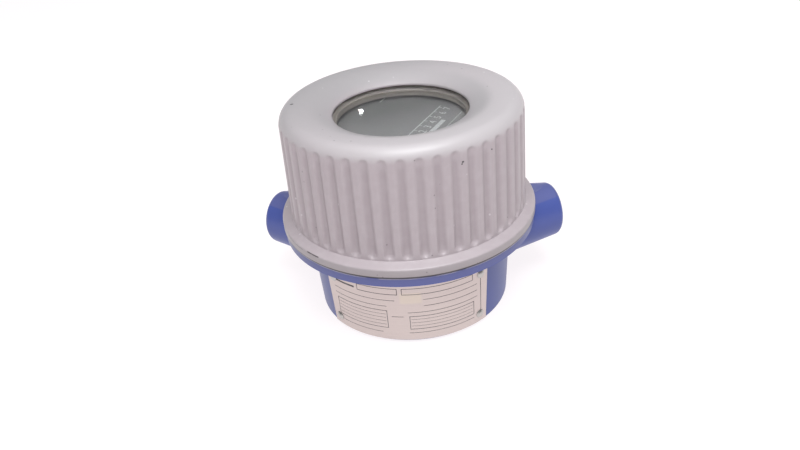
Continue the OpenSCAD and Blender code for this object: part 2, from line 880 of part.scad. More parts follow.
module label_plate() {
    color([0.35, 0.37, 0.37]) difference() {
        translate([0, 0, label_plate_z]) cylinder(h = label_plate_t, r = label_plate_r);
        at_label_screws() {
            sunk_head(screw_clear);
            translate([0, 0, -label_plate_t - over])
                cylinder(h = label_plate_t + over, r = small_screw_r + screw_clear);
            cylinder(h = over, r = 2 * small_screw_r + screw_clear);
        }
    }
}

module window_label() {
    color([0.45, 0.50, 0.49]) difference() {
        translate([0, 0, label_plate_top_z]) cylinder(h = label_t, r = label_plate_r - label_margin);
        at_label_screws() translate([0, 0, -over])
            cylinder(h = label_t + 2 * over, r = 2 * small_screw_r + label_t);
    }
}

module label_screws() {
    color(steel) at_label_screws() {
        sunk_head(0);
        translate([0, 0, -label_plate_t - 2 * small_screw_r])
            cylinder(h = label_plate_t / 2 + 2 * small_screw_r, r = small_screw_r);
    }
}

housing();
data_plate();
plate_drive_screws();
outer_ground_clamp();
outer_ground_screw();
inner_ground_clamp();
inner_ground_screw();
cover_lock_screw();
cover();
window_gasket();
window_glass();
glass_retaining_ring();
cover_seal();
module_case();
module_base_plate();
module_screws();
circuit_board();
isolation_transformer();
board_capacitors();
board_chips();
terminal_pins();
sensor_terminal_block();
loop_terminal_block();
terminal_clamps();
terminal_screws();
label_pillars();
label_plate();
window_label();
label_screws();
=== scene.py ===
import math

import bmesh
import bpy
from mathutils import Matrix, Vector


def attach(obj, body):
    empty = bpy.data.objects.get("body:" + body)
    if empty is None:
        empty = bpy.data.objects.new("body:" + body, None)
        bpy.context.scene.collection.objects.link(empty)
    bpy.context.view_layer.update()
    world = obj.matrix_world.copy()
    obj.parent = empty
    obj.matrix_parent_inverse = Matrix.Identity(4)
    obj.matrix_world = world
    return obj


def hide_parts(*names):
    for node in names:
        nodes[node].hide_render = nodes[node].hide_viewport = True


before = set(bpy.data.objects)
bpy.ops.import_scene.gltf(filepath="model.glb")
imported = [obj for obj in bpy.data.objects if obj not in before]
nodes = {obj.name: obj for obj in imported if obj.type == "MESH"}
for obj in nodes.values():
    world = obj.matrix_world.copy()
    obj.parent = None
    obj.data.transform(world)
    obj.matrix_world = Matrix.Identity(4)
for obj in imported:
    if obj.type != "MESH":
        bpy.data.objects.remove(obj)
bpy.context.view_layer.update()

MM = 0.001
scene = bpy.context.scene

# Sizes are in millimetres, unless a comment says otherwise

# Cover; heights count from the underside of its flange
COVER_Z = 47.1
COVER_H = 57.9
FLANGE_R = 62.6
FLANGE_T = 4.4
FLANGE_TOP = 5.9
FLANGE_FOOT_ROUND = 0.35
FLANGE_ROUND = 1.1
LEDGE_INSET = 0.1
SKIRT_R = 57.9
SKIRT_DRAFT = math.radians(1.27)
CROWN_ROUND = 6.4
CROWN_FLAT = 0.1
DIP_ARC_R = 34.4
WINDOW_R = 31.9
EDGE_ROUND = 1.1
COVER_SHARP = 38  # degrees from which an edge stays sharp

# Inside of the cover
BORE_R = 52.48
BORE_CHAMFER = 0.65
BORE_H = 24.5
HOLLOW_R = 49.98
HOLLOW_H = 50.4
HOLLOW_CORNER = 4.6
GROOVE_IN = 55.4
GROOVE_OUT = 59.0
GROOVE_DEPTH = 3.1
LIP = 0.2
GLASS_SEAT_R = 36.65
BOSS_R = 41.25
BOSS_DEPTH = 8.9
BOSS_ROUND = 0.3
BOSS_FOOT_ROUND = 1.2

# Flutes
FLUTES = 47
FLUTE_STEPS = 14
FLUTE_R = 2.4
FLUTE_DEPTH = 1.45
FLUTE_START = 6.3
FLUTE_STOP = 3.6
FLUTE_LEAN = math.radians(0.7)
FLUTE_TURN = 0.742
FLUTE_SOFT = 0.9
# Rows of points in the cover's outline: at the flutes' lower ends, up the skirt, and in each arc above
END_ROWS = 15
SKIRT_ROWS = 4
CORNER_ROWS = 15
CROWN_ROWS = 9
DIP_ROWS = 25
EDGE_ROWS = 7
# How far inside the skirt, and above a flute's end, points still move, in metres
FLUTE_REACH = 0.002
FLUTE_SPILL = 0.001

# Threads of the neck, the cover and the conduit entries
THREAD_R = 51.1
THREAD_PITCH = 3.175
THREAD_FOOT = 51.6
THREAD_RISE = 1.0
THREAD_SINK = 0.1
RUN_OUT = 0.2  # of a turn
NECK_TURNS = 4
COVER_TURNS = 5
ENTRY_R = 9.9
ENTRY_DEPTH = 18.0
ENTRY_PITCH = 1.814
ENTRY_RISE = 0.75
ENTRY_TURNS = 9
ENTRY_CLEAR = 1.0

# Housing: wall, rim and hubs
WALL_FOOT_R = 48.5
WALL_DRAFT = math.radians(2.7)
RIM_TOP = 46.6
HUB_SWEEP = math.radians(20)
HUB_OFFSET = 5.6
HUB_REACH = 76.9
HUB_Z = 31.5
HUB_TIP_R = 13.97
HUB_TIP_AT = 74.26
HUB_TAPER = math.radians(8.5)
FILLET_R = 4.0
FILLET_TURN = math.radians(132)
FILLET_SEARCH_FROM = 20.0
FILLET_BURIED = 0.4
FILLET_SHARP = 50

# Window: washer under the glass, film of the label
GLASS_UNDER = 93.2
WASHER_IN_R = 30.4
WASHER_COLLAR_R = 33.3
WASHER_OUT_R = 36.4
WASHER_T = 0.4
WASHER_COLLAR_H = 2.7
LABEL_TOP = 89.1
LABEL_R = 38.0
FILM_T = 0.3
TURNED_SEGMENTS = 160
TURNED_SHARP = 35

# Print
INK = 0.03
PLATE_FACE = 0.85
PLATE_ARC_R = 50.3
PLATE_LINE = 0.28

# Lines on the data plate: first, last, low, high; lengths round the wall and heights over the foot
PLATE_RULES = (
    (-39.4, -25.0, 29.94, 30.9), (38.2, 38.5, 7.55, 29.37), (-38.0, -5.0, 25.83, 26.07),
    (-38.0, -9.0, 22.29, 22.53), (8.5, 36.0, 26.02, 26.26), (8.5, 36.0, 22.29, 22.53),
    (0.8, 36.0, 18.65, 18.89), (0.8, 34.0, 6.21, 6.45), (-36.0, -12.0, 6.21, 6.45),
    (-7.0, -1.4, 16.16, 16.4),
)
PLATE_FRAMES = (
    (-23.4, -3.4, 29.37, 33.01), (-1.4, 33.6, 29.37, 33.01),
    (-37.0, -9.0, 9.08, 19.8), (1.4, 34.0, 8.51, 16.55),
)
# Rows of thin lines: first, last, lowest, step, count
PLATE_ROWS = ((-36.2, -9.8, 11.19, 2.1, 4), (2.2, 33.2, 10.52, 2.0, 3))

# Lines on the label: along the rows and across them, from the centre of the window
LABEL_TURN = math.radians(67.5)
LABEL_RULES = (
    (-27.0, 23.6, -9.6, -9.1), (-14.0, 8.4, -18.9, -16.7),
    (-24.0, 20.0, -22.4, -22.1), (19.6, 24.6, 21.8, 22.4),
)
LABEL_NUMBERS = "1234567"
NUMBER_FIRST = -12.0
NUMBER_STEP = 5.6
NUMBER_SIZE = 5.4
NUMBER_LINE = -15.6
TICK_W = 0.4
TICK_SPAN = (-11.0, -9.6)

# Colours of the cover's paint, new and worn, and of light and shade painted on it
# The side's paint is pinker than the crown's: a painted tint of the warm light from below
COVER_DARK = (0.412, 0.355, 0.380, 1)
COVER_PALE = (0.446, 0.384, 0.409, 1)
COVER_MOTTLE = (0.62, 0.58, 0.60, 1)
# Painted shade on the flange's upright face
FLANGE_FACE_SHADE = (0.30, 0.275, 0.285, 1)
# Crown's paint: older, also used as painted shade, and fresher with a painted highlight
AGED_AND_SHADED_PAINT = (0.355, 0.336, 0.348, 1)
FRESH_AND_LIT_PAINT = (0.50, 0.465, 0.482, 1)
# Painted shade, with dust, in the flutes' hollows
FLUTE_SHADE_AND_DUST = (0.22, 0.17, 0.19, 1)
# Painted shadow, with dirt, along the gap under the flange
GAP_SHADOW_AND_DIRT = (0.05, 0.045, 0.05, 1)
CHIPPED = (0.07, 0.06, 0.065, 1)
PALE_SPECK = (0.80, 0.78, 0.80, 1)

# Chips in the cover's paint, as (centre, size), and scratches on its flange, as
# (first, last, low, high, strength), with degrees round the axis from -X towards -Y
COVER_CHIPS = (
    ((-50.4, -2.7, 105.0), 0.8), ((28.6, -49.3, 95.2), 0.5), ((28.3, -49.5, 94.4), 0.4),
    ((20.1, -53.2, 95.6), 0.3), ((40.6, -39.9, 95.9), 0.4), ((33.0, -46.8, 96.6), 0.3),
    ((-12.0, -56.0, 99.5), 0.3),
)
FLANGE_SCRATCHES = ((47.0, 53.5, 3.75, 4.1, 1.0), (29.5, 43.0, 3.35, 3.45, 0.8))

# Colours of the housing's paint, new and worn, with a painted sheen on the rim's face and a painted contact
# shadow at the foot
HOUSING_DARK = (0.056, 0.082, 0.290, 1)
HOUSING_PALE = (0.067, 0.094, 0.330, 1)
RIM_FADED_AND_SHEEN = (0.20, 0.18, 0.26, 1)
RIM_WORN = (0.42, 0.40, 0.50, 1)
FOOT_SHADOW = (0.03, 0.03, 0.05, 1)

# Camera, and lamps as (name, place, aim, size, watts, colour); places and sizes in metres
CAMERA_PLACE = (0.031932, -0.311234, 0.226040)
CAMERA_TURN = math.radians(6.7981)
CAMERA_TILT = math.radians(58.7714)
CAMERA_ROLL = math.radians(-5.1065)
CAMERA_LENS = 32.240
CAMERA_SENSOR = 36
LAMPS = (
    ("key", (0.232, -0.401, 1.427), (0, 0, 0.06), (0.8, 0.8), 13.0, (0.97, 1, 1)),
    ("top", (0.052, 0, 1.499), (0, 0, 0.06), (1.6, 1.6), 9.0, (0.97, 1, 1)),
    ("front", (0, -0.860, 1.229), (0, 0, 0.06), (0.8, 0.8), 7.5, (0.97, 1, 1)),
    ("spark", (-0.2275, 1.2839, 0.6212), (-0.0190, 0.0021, 0.0982), (0.009, 0.005), 0.015, (1, 1, 1)),
)
FLOOR_HALF = 6000
SKY_STRENGTH = 0.21
HORIZON_STRENGTH = 0.75
HORIZON_FADE = (0.045, 0.08)


class Value:
    """An output socket; the usual operators on it add Math nodes."""

    def __init__(self, net, socket):
        self.net = net
        self.socket = socket

    def also(self, name):
        """Another output of the same node."""
        return Value(self.net, self.socket.node.outputs[name])

    def __add__(self, other):
        return self.net.maths("ADD", self, other)

    def __radd__(self, other):
        return self.net.maths("ADD", other, self)

    def __sub__(self, other):
        return self.net.maths("SUBTRACT", self, other)

    def __rsub__(self, other):
        return self.net.maths("SUBTRACT", other, self)

    def __mul__(self, other):
        return self.net.maths("MULTIPLY", self, other)

    def __rmul__(self, other):
        return self.net.maths("MULTIPLY", other, self)

    def __truediv__(self, other):
        return self.net.maths("DIVIDE", self, other)

    def __lt__(self, other):
        return self.net.maths("LESS_THAN", self, other)

    def __gt__(self, other):
        return self.net.maths("GREATER_THAN", self, other)


class Net:
    """A node tree that is filled by calls."""

    def __init__(self, tree):
        self.tree = tree
        tree.nodes.clear()

    def add(self, kind, settings=None, values=None, out=0):
        """Adds a node: its settings first, then values or links for its sockets."""
        node = self.tree.nodes.new(kind)
        for name, setting in (settings or {}).items():
            setattr(node, name, setting)
        for name, value in (values or {}).items():
            if isinstance(value, Value):
                self.tree.links.new(value.socket, node.inputs[name])
            else:
                node.inputs[name].default_value = value
        return Value(self, node.outputs[out]) if len(node.outputs) else None

    def maths(self, operation, *values):
        return self.add("ShaderNodeMath", {"operation": operation}, dict(enumerate(values)))

    def least(self, a, b):
        return self.maths("MINIMUM", a, b)

    def most(self, a, b):
        return self.maths("MAXIMUM", a, b)

    def ramp(self, value, low, high):
        """Runs smoothly from 0 to 1 as value goes from low to high."""
        return self.add("ShaderNodeMapRange", {"interpolation_type": "SMOOTHSTEP"},
                        {"Value": value, "From Min": low, "From Max": high})

    def band(self, value, low, high, soft):
        """1 from low to high, fading out over soft on either side."""
        return self.ramp(value, low - soft, low) * (1 - self.ramp(value, high, high + soft))

    def blend(self, share, first, second):
        """Mixes two colours."""
        return self.add("ShaderNodeMix", {"data_type": "RGBA"}, {0: share, 6: first, 7: second}, out=2)

    def noise(self, place, scale, detail):
        return self.add("ShaderNodeTexNoise", {}, {"Vector": place, "Scale": scale, "Detail": detail})

    def parts(self, place):
        """The x, y and z of a place, in metres."""
        x = self.add("ShaderNodeSeparateXYZ", {}, {"Vector": place})
        return x, x.also("Y"), x.also("Z")

    def from_axis(self, x, y):
        """Distance from the axis, in millimetres."""
        return self.maths("SQRT", x * x + y * y) / MM


# Node trees that shape meshes

def shaping_tree(name, sizes):
    """A Geometry Nodes tree with a named input for each size."""
    tree = bpy.data.node_groups.new(name, "GeometryNodeTree")
    tree.interface.new_socket("Geometry", in_out="INPUT", socket_type="NodeSocketGeometry")
    for size in sizes:
        tree.interface.new_socket(size, in_out="INPUT", socket_type="NodeSocketFloat")
    tree.interface.new_socket("Material", in_out="INPUT", socket_type="NodeSocketMaterial")
    tree.interface.new_socket("Geometry", in_out="OUTPUT", socket_type="NodeSocketGeometry")
    net = Net(tree)
    return net, net.add("NodeGroupInput")


def close_tree(net, start, geometry):
    """Ends a tree: real geometry, smooth, with its material."""
    merged = net.add("GeometryNodeMergeByDistance", {}, {"Geometry": geometry, "Distance": 1e-6})
    smooth = net.add("GeometryNodeSetShadeSmooth", {}, {"Geometry": merged})
    real = net.add("GeometryNodeRealizeInstances", {}, {"Geometry": smooth})
    done = net.add("GeometryNodeSetMaterial", {}, {"Geometry": real, "Material": start.also("Material")})
    net.add("NodeGroupOutput", {}, {"Geometry": done})
    return net.tree


def new_mesh(name, points, faces=()):
    mesh = bpy.data.meshes.new(name)
    mesh.from_pydata([tuple(c * MM for c in p) for p in points], [], list(faces))
    piece = bpy.data.objects.new(name, mesh)
    scene.collection.objects.link(piece)
    return piece


def shaped(piece, tree, sizes, material):
    """Runs a tree on a piece and keeps the result as its plain mesh."""
    modifier = piece.modifiers.new("shape", "NODES")
    modifier.node_group = tree
    for item in tree.interface.items_tree:
        if item.in_out == "INPUT" and item.name in sizes:
            modifier[item.identifier] = float(sizes[item.name])
        elif item.in_out == "INPUT" and item.name == "Material":
            modifier[item.identifier] = material
    graph = bpy.context.evaluated_depsgraph_get()
    mesh = bpy.data.meshes.new_from_object(piece.evaluated_get(graph), depsgraph=graph)
    piece.modifiers.clear()
    piece.data = mesh
    mesh.name = piece.name
    return piece


def face_outwards(piece):
    """Closes seams and poles, and turns every face outwards."""
    work = bmesh.new()
    work.from_mesh(piece.data)
    bmesh.ops.remove_doubles(work, verts=work.verts, dist=1e-6)
    bmesh.ops.recalc_face_normals(work, faces=work.faces)
    work.to_mesh(piece.data)
    work.free()


def flute_tree():
    """Sweeps a section round the axis and sinks the flutes into it."""
    net, start = shaping_tree("fluted sweep", [
        "Section points", "Flutes", "Steps", "Hollow radius", "Depth", "Low end", "High end",
        "Lean slope", "Draft slope", "Turn", "Soft edge", "Skirt foot", "Skirt radius", "Base height"])
    size = start.also
    steps = size("Flutes") * size("Steps")
    grid = net.add("GeometryNodeMeshGrid", {}, {
        "Size X": 1.0, "Size Y": 1.0, "Vertices X": steps + 1, "Vertices Y": size("Section points") + 1})
    at = net.add("ShaderNodeSeparateXYZ", {}, {"Vector": net.add("GeometryNodeInputPosition")})
    share = at + 0.5
    row = net.maths("ROUND", (at.also("Y") + 0.5) * size("Section points"))
    index = net.maths("FLOORED_MODULO", row, size("Section points"))
    section = net.add("GeometryNodeSampleIndex", {"data_type": "FLOAT_VECTOR", "domain": "POINT"}, {
        "Geometry": start, "Value": net.add("GeometryNodeInputPosition"), "Index": index})
    point = net.add("ShaderNodeSeparateXYZ", {}, {"Vector": section})
    radius = point
    height = point.also("Z") - size("Base height")
    angle = share * (2 * math.pi)
    turn = share * size("Flutes") - size("Turn")
    off = (turn - net.maths("ROUND", turn)) * (2 * math.pi) / size("Flutes")
    beside = radius * net.maths("SINE", off)
    skirt = size("Skirt radius") - (height - size("Skirt foot")) * size("Draft slope")
    low = size("Low end") + size("Hollow radius")
    high = size("High end") - size("Hollow radius")
    beyond = net.most(low - height, 0.0) + net.most(height - high, 0.0)
    reach = net.maths("SQRT", beside * beside + beyond * beyond)
    shallower = (height - low) * (size("Draft slope") - size("Lean slope"))
    sunk = size("Hollow radius") - size("Depth") + shallower
    square = size("Hollow radius") * size("Hollow radius")
    half = net.maths("SQRT", square - sunk * sunk)
    hollow = net.maths("SQRT", net.most(square - reach * reach, 0.0)) - sunk
    edge = (half - reach) * half / sunk
    inside = reach < half
    below = hollow * inside + edge * (1 - inside) - (skirt - radius)
    cut = net.maths("SMOOTH_MAX", below, 0.0, size("Soft edge"))
    outer_wall = radius > skirt - FLUTE_REACH
    on_band = outer_wall * (height > size("Skirt foot")) * (height < size("High end") + FLUTE_SPILL)
    reduced = radius - cut * on_band
    place = net.add("ShaderNodeCombineXYZ", {}, {
        "X": reduced * net.maths("COSINE", angle), "Y": reduced * net.maths("SINE", angle),
        "Z": point.also("Z")})
    swept = net.add("GeometryNodeSetPosition", {}, {"Geometry": grid, "Position": place})
    return close_tree(net, start, swept)


def thread_tree():
    """A helical thread whose ends run out into the wall."""
    net, start = shaping_tree("helical thread", [
        "Radius", "Rise", "Pitch", "Turns", "Foot height", "Crest width", "Base width", "Steps", "Sink"])
    size = start.also
    grid = net.add("GeometryNodeMeshGrid", {}, {
        "Size X": 1.0, "Size Y": 1.0, "Vertices X": size("Turns") * size("Steps") + 1, "Vertices Y": 5})
    at = net.add("ShaderNodeSeparateXYZ", {}, {"Vector": net.add("GeometryNodeInputPosition")})
    along = (at + 0.5) * size("Turns")
    corner = net.maths("ROUND", (at.also("Y") + 0.5) * 4)
    crest = (corner > 0.5) * (corner < 2.5)
    upper = (corner > 1.5) * (corner < 3.5)
    fade = net.least(net.ramp(along, 0.0, RUN_OUT), net.ramp(size("Turns") - along, 0.0, RUN_OUT))
    width = size("Crest width") * crest + size("Base width") * (1 - crest)
    height = size("Foot height") + along * size("Pitch") + (upper - 0.5) * width * fade
    radius = size("Radius") - size("Sink") + (size("Rise") + size("Sink")) * crest * fade
    angle = along * (2 * math.pi)
    place = net.add("ShaderNodeCombineXYZ", {}, {
        "X": radius * net.maths("COSINE", angle), "Y": radius * net.maths("SINE", angle), "Z": height})
    wound = net.add("GeometryNodeSetPosition", {}, {"Geometry": grid, "Position": place})
    return close_tree(net, start, wound)


def wrap_tree():
    """Bends a flat print round the housing's wall."""
    net, start = shaping_tree("print round the wall", ["Foot radius", "Draft slope", "Lift"])
    size = start.also
    at = net.add("ShaderNodeSeparateXYZ", {}, {"Vector": net.add("GeometryNodeInputPosition")})
    radius = size("Foot radius") + at.also("Z") * size("Draft slope") + size("Lift")
    angle = at / radius
    place = net.add("ShaderNodeCombineXYZ", {}, {
        "X": radius * net.maths("SINE", angle), "Y": 0 - radius * net.maths("COSINE", angle),
        "Z": at.also("Z")})
    bent = net.add("GeometryNodeSetPosition", {}, {"Geometry": start, "Position": place})
    return close_tree(net, start, bent)


# Sections

def spread(first, last, count):
    """Evenly spaced values, both ends among them."""
    return [first + (last - first) * i / (count - 1) for i in range(count)]


def strip_mesh(name, strips, reach=2.0):
    """Flat strips in the XZ plane, each (first, last, low, high), in lengths of about reach, to bend."""
    points, faces = [], []
    for first, last, low, high in strips:
        count = max(1, round((last - first) / reach))
        start = len(points)
        for along in spread(first, last, count + 1):
            points += [(along, 0, low), (along, 0, high)]
        for corner in range(start, start + 2 * count, 2):
            faces.append((corner, corner + 2, corner + 3, corner + 1))
    return new_mesh(name, points, faces=faces)


def rounded(corners):
    """Points of a closed outline; each corner is (r, z, rounding, steps)."""
    points = []
    count = len(corners)
    for i, (r, z, rounding, steps) in enumerate(corners):
        here = Vector((r, z))
        if rounding == 0:
            points.append(here)
            continue
        back = (Vector(corners[i - 1][:2]) - here).normalized()
        ahead = (Vector(corners[(i + 1) % count][:2]) - here).normalized()
        opening = back.angle(ahead)
        tangent = rounding / math.tan(opening / 2)
        middle = here + (back + ahead).normalized() * rounding / math.sin(opening / 2)
        first = here + back * tangent - middle
        last = here + ahead * tangent - middle
        sweep = math.atan2(first.x * last.y - first.y * last.x, first.dot(last))
        for k in range(steps + 1):
            turned = Matrix.Rotation(sweep * k / steps, 2) @ first
            points.append(middle + turned)
    return points


def skirt_r(height):
    return SKIRT_R - (height - FLANGE_TOP) * math.tan(SKIRT_DRAFT)


def arc(middle_r, middle_h, radius, turns):
    return [Vector((middle_r + radius * math.cos(turn), middle_h + radius * math.sin(turn)))
            for turn in turns]


def flange_corners():
    """The flange's outline, from the seal groove under it to the foot of the skirt."""
    return [
        (BORE_R + BORE_CHAMFER, 0, 0, 0),
        (GROOVE_IN, 0, 0, 0), (GROOVE_IN, GROOVE_DEPTH, 0, 0),
        (GROOVE_OUT, GROOVE_DEPTH, 0, 0), (GROOVE_OUT, 0, 0, 0),
        (FLANGE_R, 0, FLANGE_FOOT_ROUND, 2), (FLANGE_R, FLANGE_T - LEDGE_INSET, FLANGE_ROUND, 5),
        (skirt_r(FLANGE_TOP), FLANGE_TOP - LEDGE_INSET, FLANGE_FOOT_ROUND, 3),
    ]


def inside_corners(lip_h):
    """The cover's inside, from the lip over the glass down to the foot of the bore."""
    boss_h = lip_h - BOSS_DEPTH
    return [
        (WINDOW_R, lip_h, 0, 0), (GLASS_SEAT_R, lip_h, 0, 0), (GLASS_SEAT_R, boss_h, 0, 0),
        (BOSS_R, boss_h, BOSS_ROUND, 2), (BOSS_R, HOLLOW_H, BOSS_FOOT_ROUND, 3),
        (HOLLOW_R - HOLLOW_CORNER, HOLLOW_H, 0, 0), (HOLLOW_R, HOLLOW_H - HOLLOW_CORNER, 0, 0),
        (HOLLOW_R, BORE_H + BORE_R - HOLLOW_R, 0, 0), (BORE_R, BORE_H, 0, 0), (BORE_R, BORE_CHAMFER, 0, 0),
    ]


def cover_section():
    """The cover's outline, with rows close together where the flutes end."""
    low = FLUTE_START + FLUTE_R
    high = COVER_H - FLUTE_STOP - FLUTE_R
    rows = spread(FLUTE_START - 0.25, low + 1.6, END_ROWS) + spread(low + 6, high - 3, SKIRT_ROWS)
    corner_h = COVER_H - CROWN_ROUND
    corner_r = skirt_r(corner_h) - CROWN_ROUND
    wall = [(skirt_r(h), h, 0, 0) for h in rows + [corner_h]]
    points = rounded(flange_corners() + wall)
    flutes_end = math.asin((CROWN_ROUND - FLUTE_STOP + 0.5) / CROWN_ROUND)
    turns = spread(SKIRT_DRAFT, flutes_end, CORNER_ROWS)[1:]
    turns += spread(flutes_end, math.pi / 2, CROWN_ROWS)[1:]
    points += arc(corner_r, corner_h, CROWN_ROUND, turns)
    dip_r = corner_r - CROWN_FLAT
    dip_h = COVER_H - DIP_ARC_R
    edge_r = WINDOW_R + EDGE_ROUND
    edge_h = dip_h + math.sqrt((DIP_ARC_R - EDGE_ROUND) ** 2 - (dip_r - edge_r) ** 2)
    touch = math.atan2(edge_h - dip_h, edge_r - dip_r)
    points += arc(dip_r, dip_h, DIP_ARC_R, spread(math.pi / 2, touch, DIP_ROWS))
    points += arc(edge_r, edge_h, EDGE_ROUND, spread(touch, math.pi, EDGE_ROWS)[1:])
    lip = (WINDOW_R, edge_h, 0, 0)
    foot = (BORE_R + BORE_CHAMFER, 0, 0, 0)
    points += rounded([lip] + inside_corners(edge_h - LIP) + [foot])[1:-1]
    return [(p.x, 0, COVER_Z + p.y) for p in points]


def fluted_cover(material):
    section = cover_section()
    piece = new_mesh("cover_casting", section)
    shaped(piece, flute_tree(), {
        "Section points": len(section), "Flutes": FLUTES, "Steps": FLUTE_STEPS,
        "Hollow radius": FLUTE_R * MM, "Depth": FLUTE_DEPTH * MM,
        "Low end": FLUTE_START * MM, "High end": (COVER_H - FLUTE_STOP) * MM,
        "Lean slope": math.tan(FLUTE_LEAN), "Draft slope": math.tan(SKIRT_DRAFT), "Turn": FLUTE_TURN,
        "Soft edge": FLUTE_SOFT * MM, "Skirt foot": FLANGE_TOP * MM, "Skirt radius": SKIRT_R * MM,
        "Base height": COVER_Z * MM}, material)
    face_outwards(piece)
    piece.data.set_sharp_from_angle(angle=math.radians(COVER_SHARP))
    return piece


def turned(name, section, material):
    """A closed section spun round the axis."""
    count = len(section)
    points, faces = [], []
    for i in range(TURNED_SEGMENTS):
        angle = 2 * math.pi * i / TURNED_SEGMENTS
        points += [(r * math.cos(angle), r * math.sin(angle), z) for r, z in section]
        a, b = i * count, (i + 1) % TURNED_SEGMENTS * count
        faces += [(a + k, b + k, b + (k + 1) % count, a + (k + 1) % count) for k in range(count)]
    piece = new_mesh(name, points, faces=faces)
    return smooth_piece(piece, material, TURNED_SHARP)


def smooth_piece(piece, material, sharp_from):
    """Faces out, smooth but for edges sharper than an angle in degrees, and with its material."""
    face_outwards(piece)
    piece.data.materials.append(material)
    piece.data.shade_smooth()
    piece.data.set_sharp_from_angle(angle=math.radians(sharp_from))
    return piece


def glass_washer(material):
    """Fibre washer with a collar, between the glass and its ring."""
    top = GLASS_UNDER + 0.02
    foot = GLASS_UNDER - WASHER_COLLAR_H
    section = rounded([
        (WASHER_IN_R, foot, 0.25, 3), (WASHER_COLLAR_R, foot, 0, 0), (WASHER_COLLAR_R, top - WASHER_T, 0, 0),
        (WASHER_OUT_R, top - WASHER_T, 0, 0), (WASHER_OUT_R, top, 0, 0), (WASHER_IN_R, top, 0.15, 3)])
    return turned("glass_washer", section, material)


def label_film(material):
    under = LABEL_TOP - FILM_T
    section = rounded([
        (0, under, 0, 0), (LABEL_R, under, 0, 0), (LABEL_R, LABEL_TOP, 0.12, 3), (0, LABEL_TOP, 0, 0)])
    return turned("label_film", section, material)


def inked(piece):
    """Gives a print the thickness of its ink, down to what it lies on."""
    layer = piece.modifiers.new("ink", "SOLIDIFY")
    layer.thickness = 0.8 * INK * MM
    layer.offset = -1
    return piece


def number_mesh(digit, along):
    """One plain number of the label, flat, in its place along the row."""
    text = bpy.data.curves.new("number", "FONT")
    text.body = digit
    text.size = NUMBER_SIZE * MM
    text.align_x = "CENTER"
    text.resolution_u = 3
    carrier = bpy.data.objects.new("number", text)
    scene.collection.objects.link(carrier)
    flat = bpy.data.meshes.new_from_object(carrier.evaluated_get(bpy.context.evaluated_depsgraph_get()))
    bpy.data.objects.remove(carrier)
    flat.transform(Matrix.Translation((along * MM, NUMBER_LINE * MM, 0)))
    return flat


def label_print(material):
    """Rules and plain numbers on the label."""
    places = [NUMBER_FIRST + NUMBER_STEP * i for i in range(len(LABEL_NUMBERS))]
    ticks = [(along - TICK_W / 2, along + TICK_W / 2, *TICK_SPAN) for along in places]
    piece = strip_mesh("label_print", list(LABEL_RULES) + ticks, 60)
    piece.data.transform(Matrix.Rotation(-math.pi / 2, 4, "X"))
    work = bmesh.new()
    work.from_mesh(piece.data)
    for digit, along in zip(LABEL_NUMBERS, places):
        work.from_mesh(number_mesh(digit, along))
    work.to_mesh(piece.data)
    work.free()
    lift = Matrix.Translation((0, 0, (LABEL_TOP + INK) * MM))
    piece.data.transform(lift @ Matrix.Rotation(LABEL_TURN, 4, "Z"))
    piece.data.materials.append(material)
    return inked(piece)


def plate_print(material):
    """The empty form on the data plate."""
    strips = list(PLATE_RULES)
    for first, last, low, high in PLATE_FRAMES:
        strips += [(first, last, low, low + PLATE_LINE), (first, last, high - PLATE_LINE, high),
                   (first, first + PLATE_LINE, low, high), (last - PLATE_LINE, last, low, high)]
    for first, last, lowest, step, count in PLATE_ROWS:
        for i in range(count):
            low = lowest + i * step
            strips.append((first, last, low, low + PLATE_LINE / 2))
    piece = strip_mesh("plate_print", strips)
    shaped(piece, wrap_tree(), {
        "Foot radius": WALL_FOOT_R * MM, "Draft slope": math.tan(WALL_DRAFT),
        "Lift": (PLATE_FACE + INK) * MM}, material)
    return inked(piece)


def hub_ball(psi, turn):
    """A ball that rolls round a hub and touches the wall: its centre, and its way to the hub's surface."""
    level = math.cos(HUB_TAPER)
    outward = Vector((math.cos(psi) * level, math.sin(psi) * level, math.sin(HUB_TAPER)))
    near, far = FILLET_SEARCH_FROM, HUB_TIP_AT
    for _ in range(50):
        along = (near + far) / 2
        hub_r = HUB_TIP_R + (HUB_TIP_AT - along) * math.tan(HUB_TAPER)
        on_hub = Vector((hub_r * math.cos(psi), hub_r * math.sin(psi), along))
        centre = turn @ ((on_hub + FILLET_R * outward) * MM) / MM
        wall_r = WALL_FOOT_R + centre.z * math.tan(WALL_DRAFT)
        gap = (math.hypot(centre.x, centre.y) - wall_r) * math.cos(WALL_DRAFT)
        near, far = (along, far) if gap < FILLET_R else (near, along)
    to_frame = turn.inverted().to_3x3().transposed()
    return centre, -(to_frame @ outward).normalized()


def hub_fillet(side, material, steps=56, arc_steps=9):
    """The rolling-ball rounding where a hub meets the wall, as a closed solid."""
    turn = hub_frame(side)
    level = math.cos(WALL_DRAFT)
    points, faces = [], []
    ring = arc_steps + 4
    for i, psi in enumerate(spread(-FILLET_TURN, FILLET_TURN, steps + 1)):
        centre, hub_way = hub_ball(psi, turn)
        azimuth = math.atan2(centre.y, centre.x)
        wall_way = Vector((-math.cos(azimuth) * level, -math.sin(azimuth) * level, math.sin(WALL_DRAFT)))
        points += [centre + FILLET_R * hub_way.slerp(wall_way, k / arc_steps) for k in range(arc_steps + 1)]
        corner = FILLET_R / math.cos(hub_way.angle(wall_way) / 2) + FILLET_BURIED
        points.append(centre + (FILLET_R + FILLET_BURIED) * wall_way)
        points.append(centre + corner * (hub_way + wall_way).normalized())
        points.append(centre + (FILLET_R + FILLET_BURIED) * hub_way)
        if i:
            a, b = (i - 1) * ring, i * ring
            faces += [(a + k, a + (k + 1) % ring, b + (k + 1) % ring, b + k) for k in range(ring)]
    faces += [tuple(range(ring)), tuple(steps * ring + k for k in range(ring))[::-1]]
    piece = new_mesh("hub_fillet_right" if side > 0 else "hub_fillet_left", points, faces=faces)
    return smooth_piece(piece, material, FILLET_SHARP)


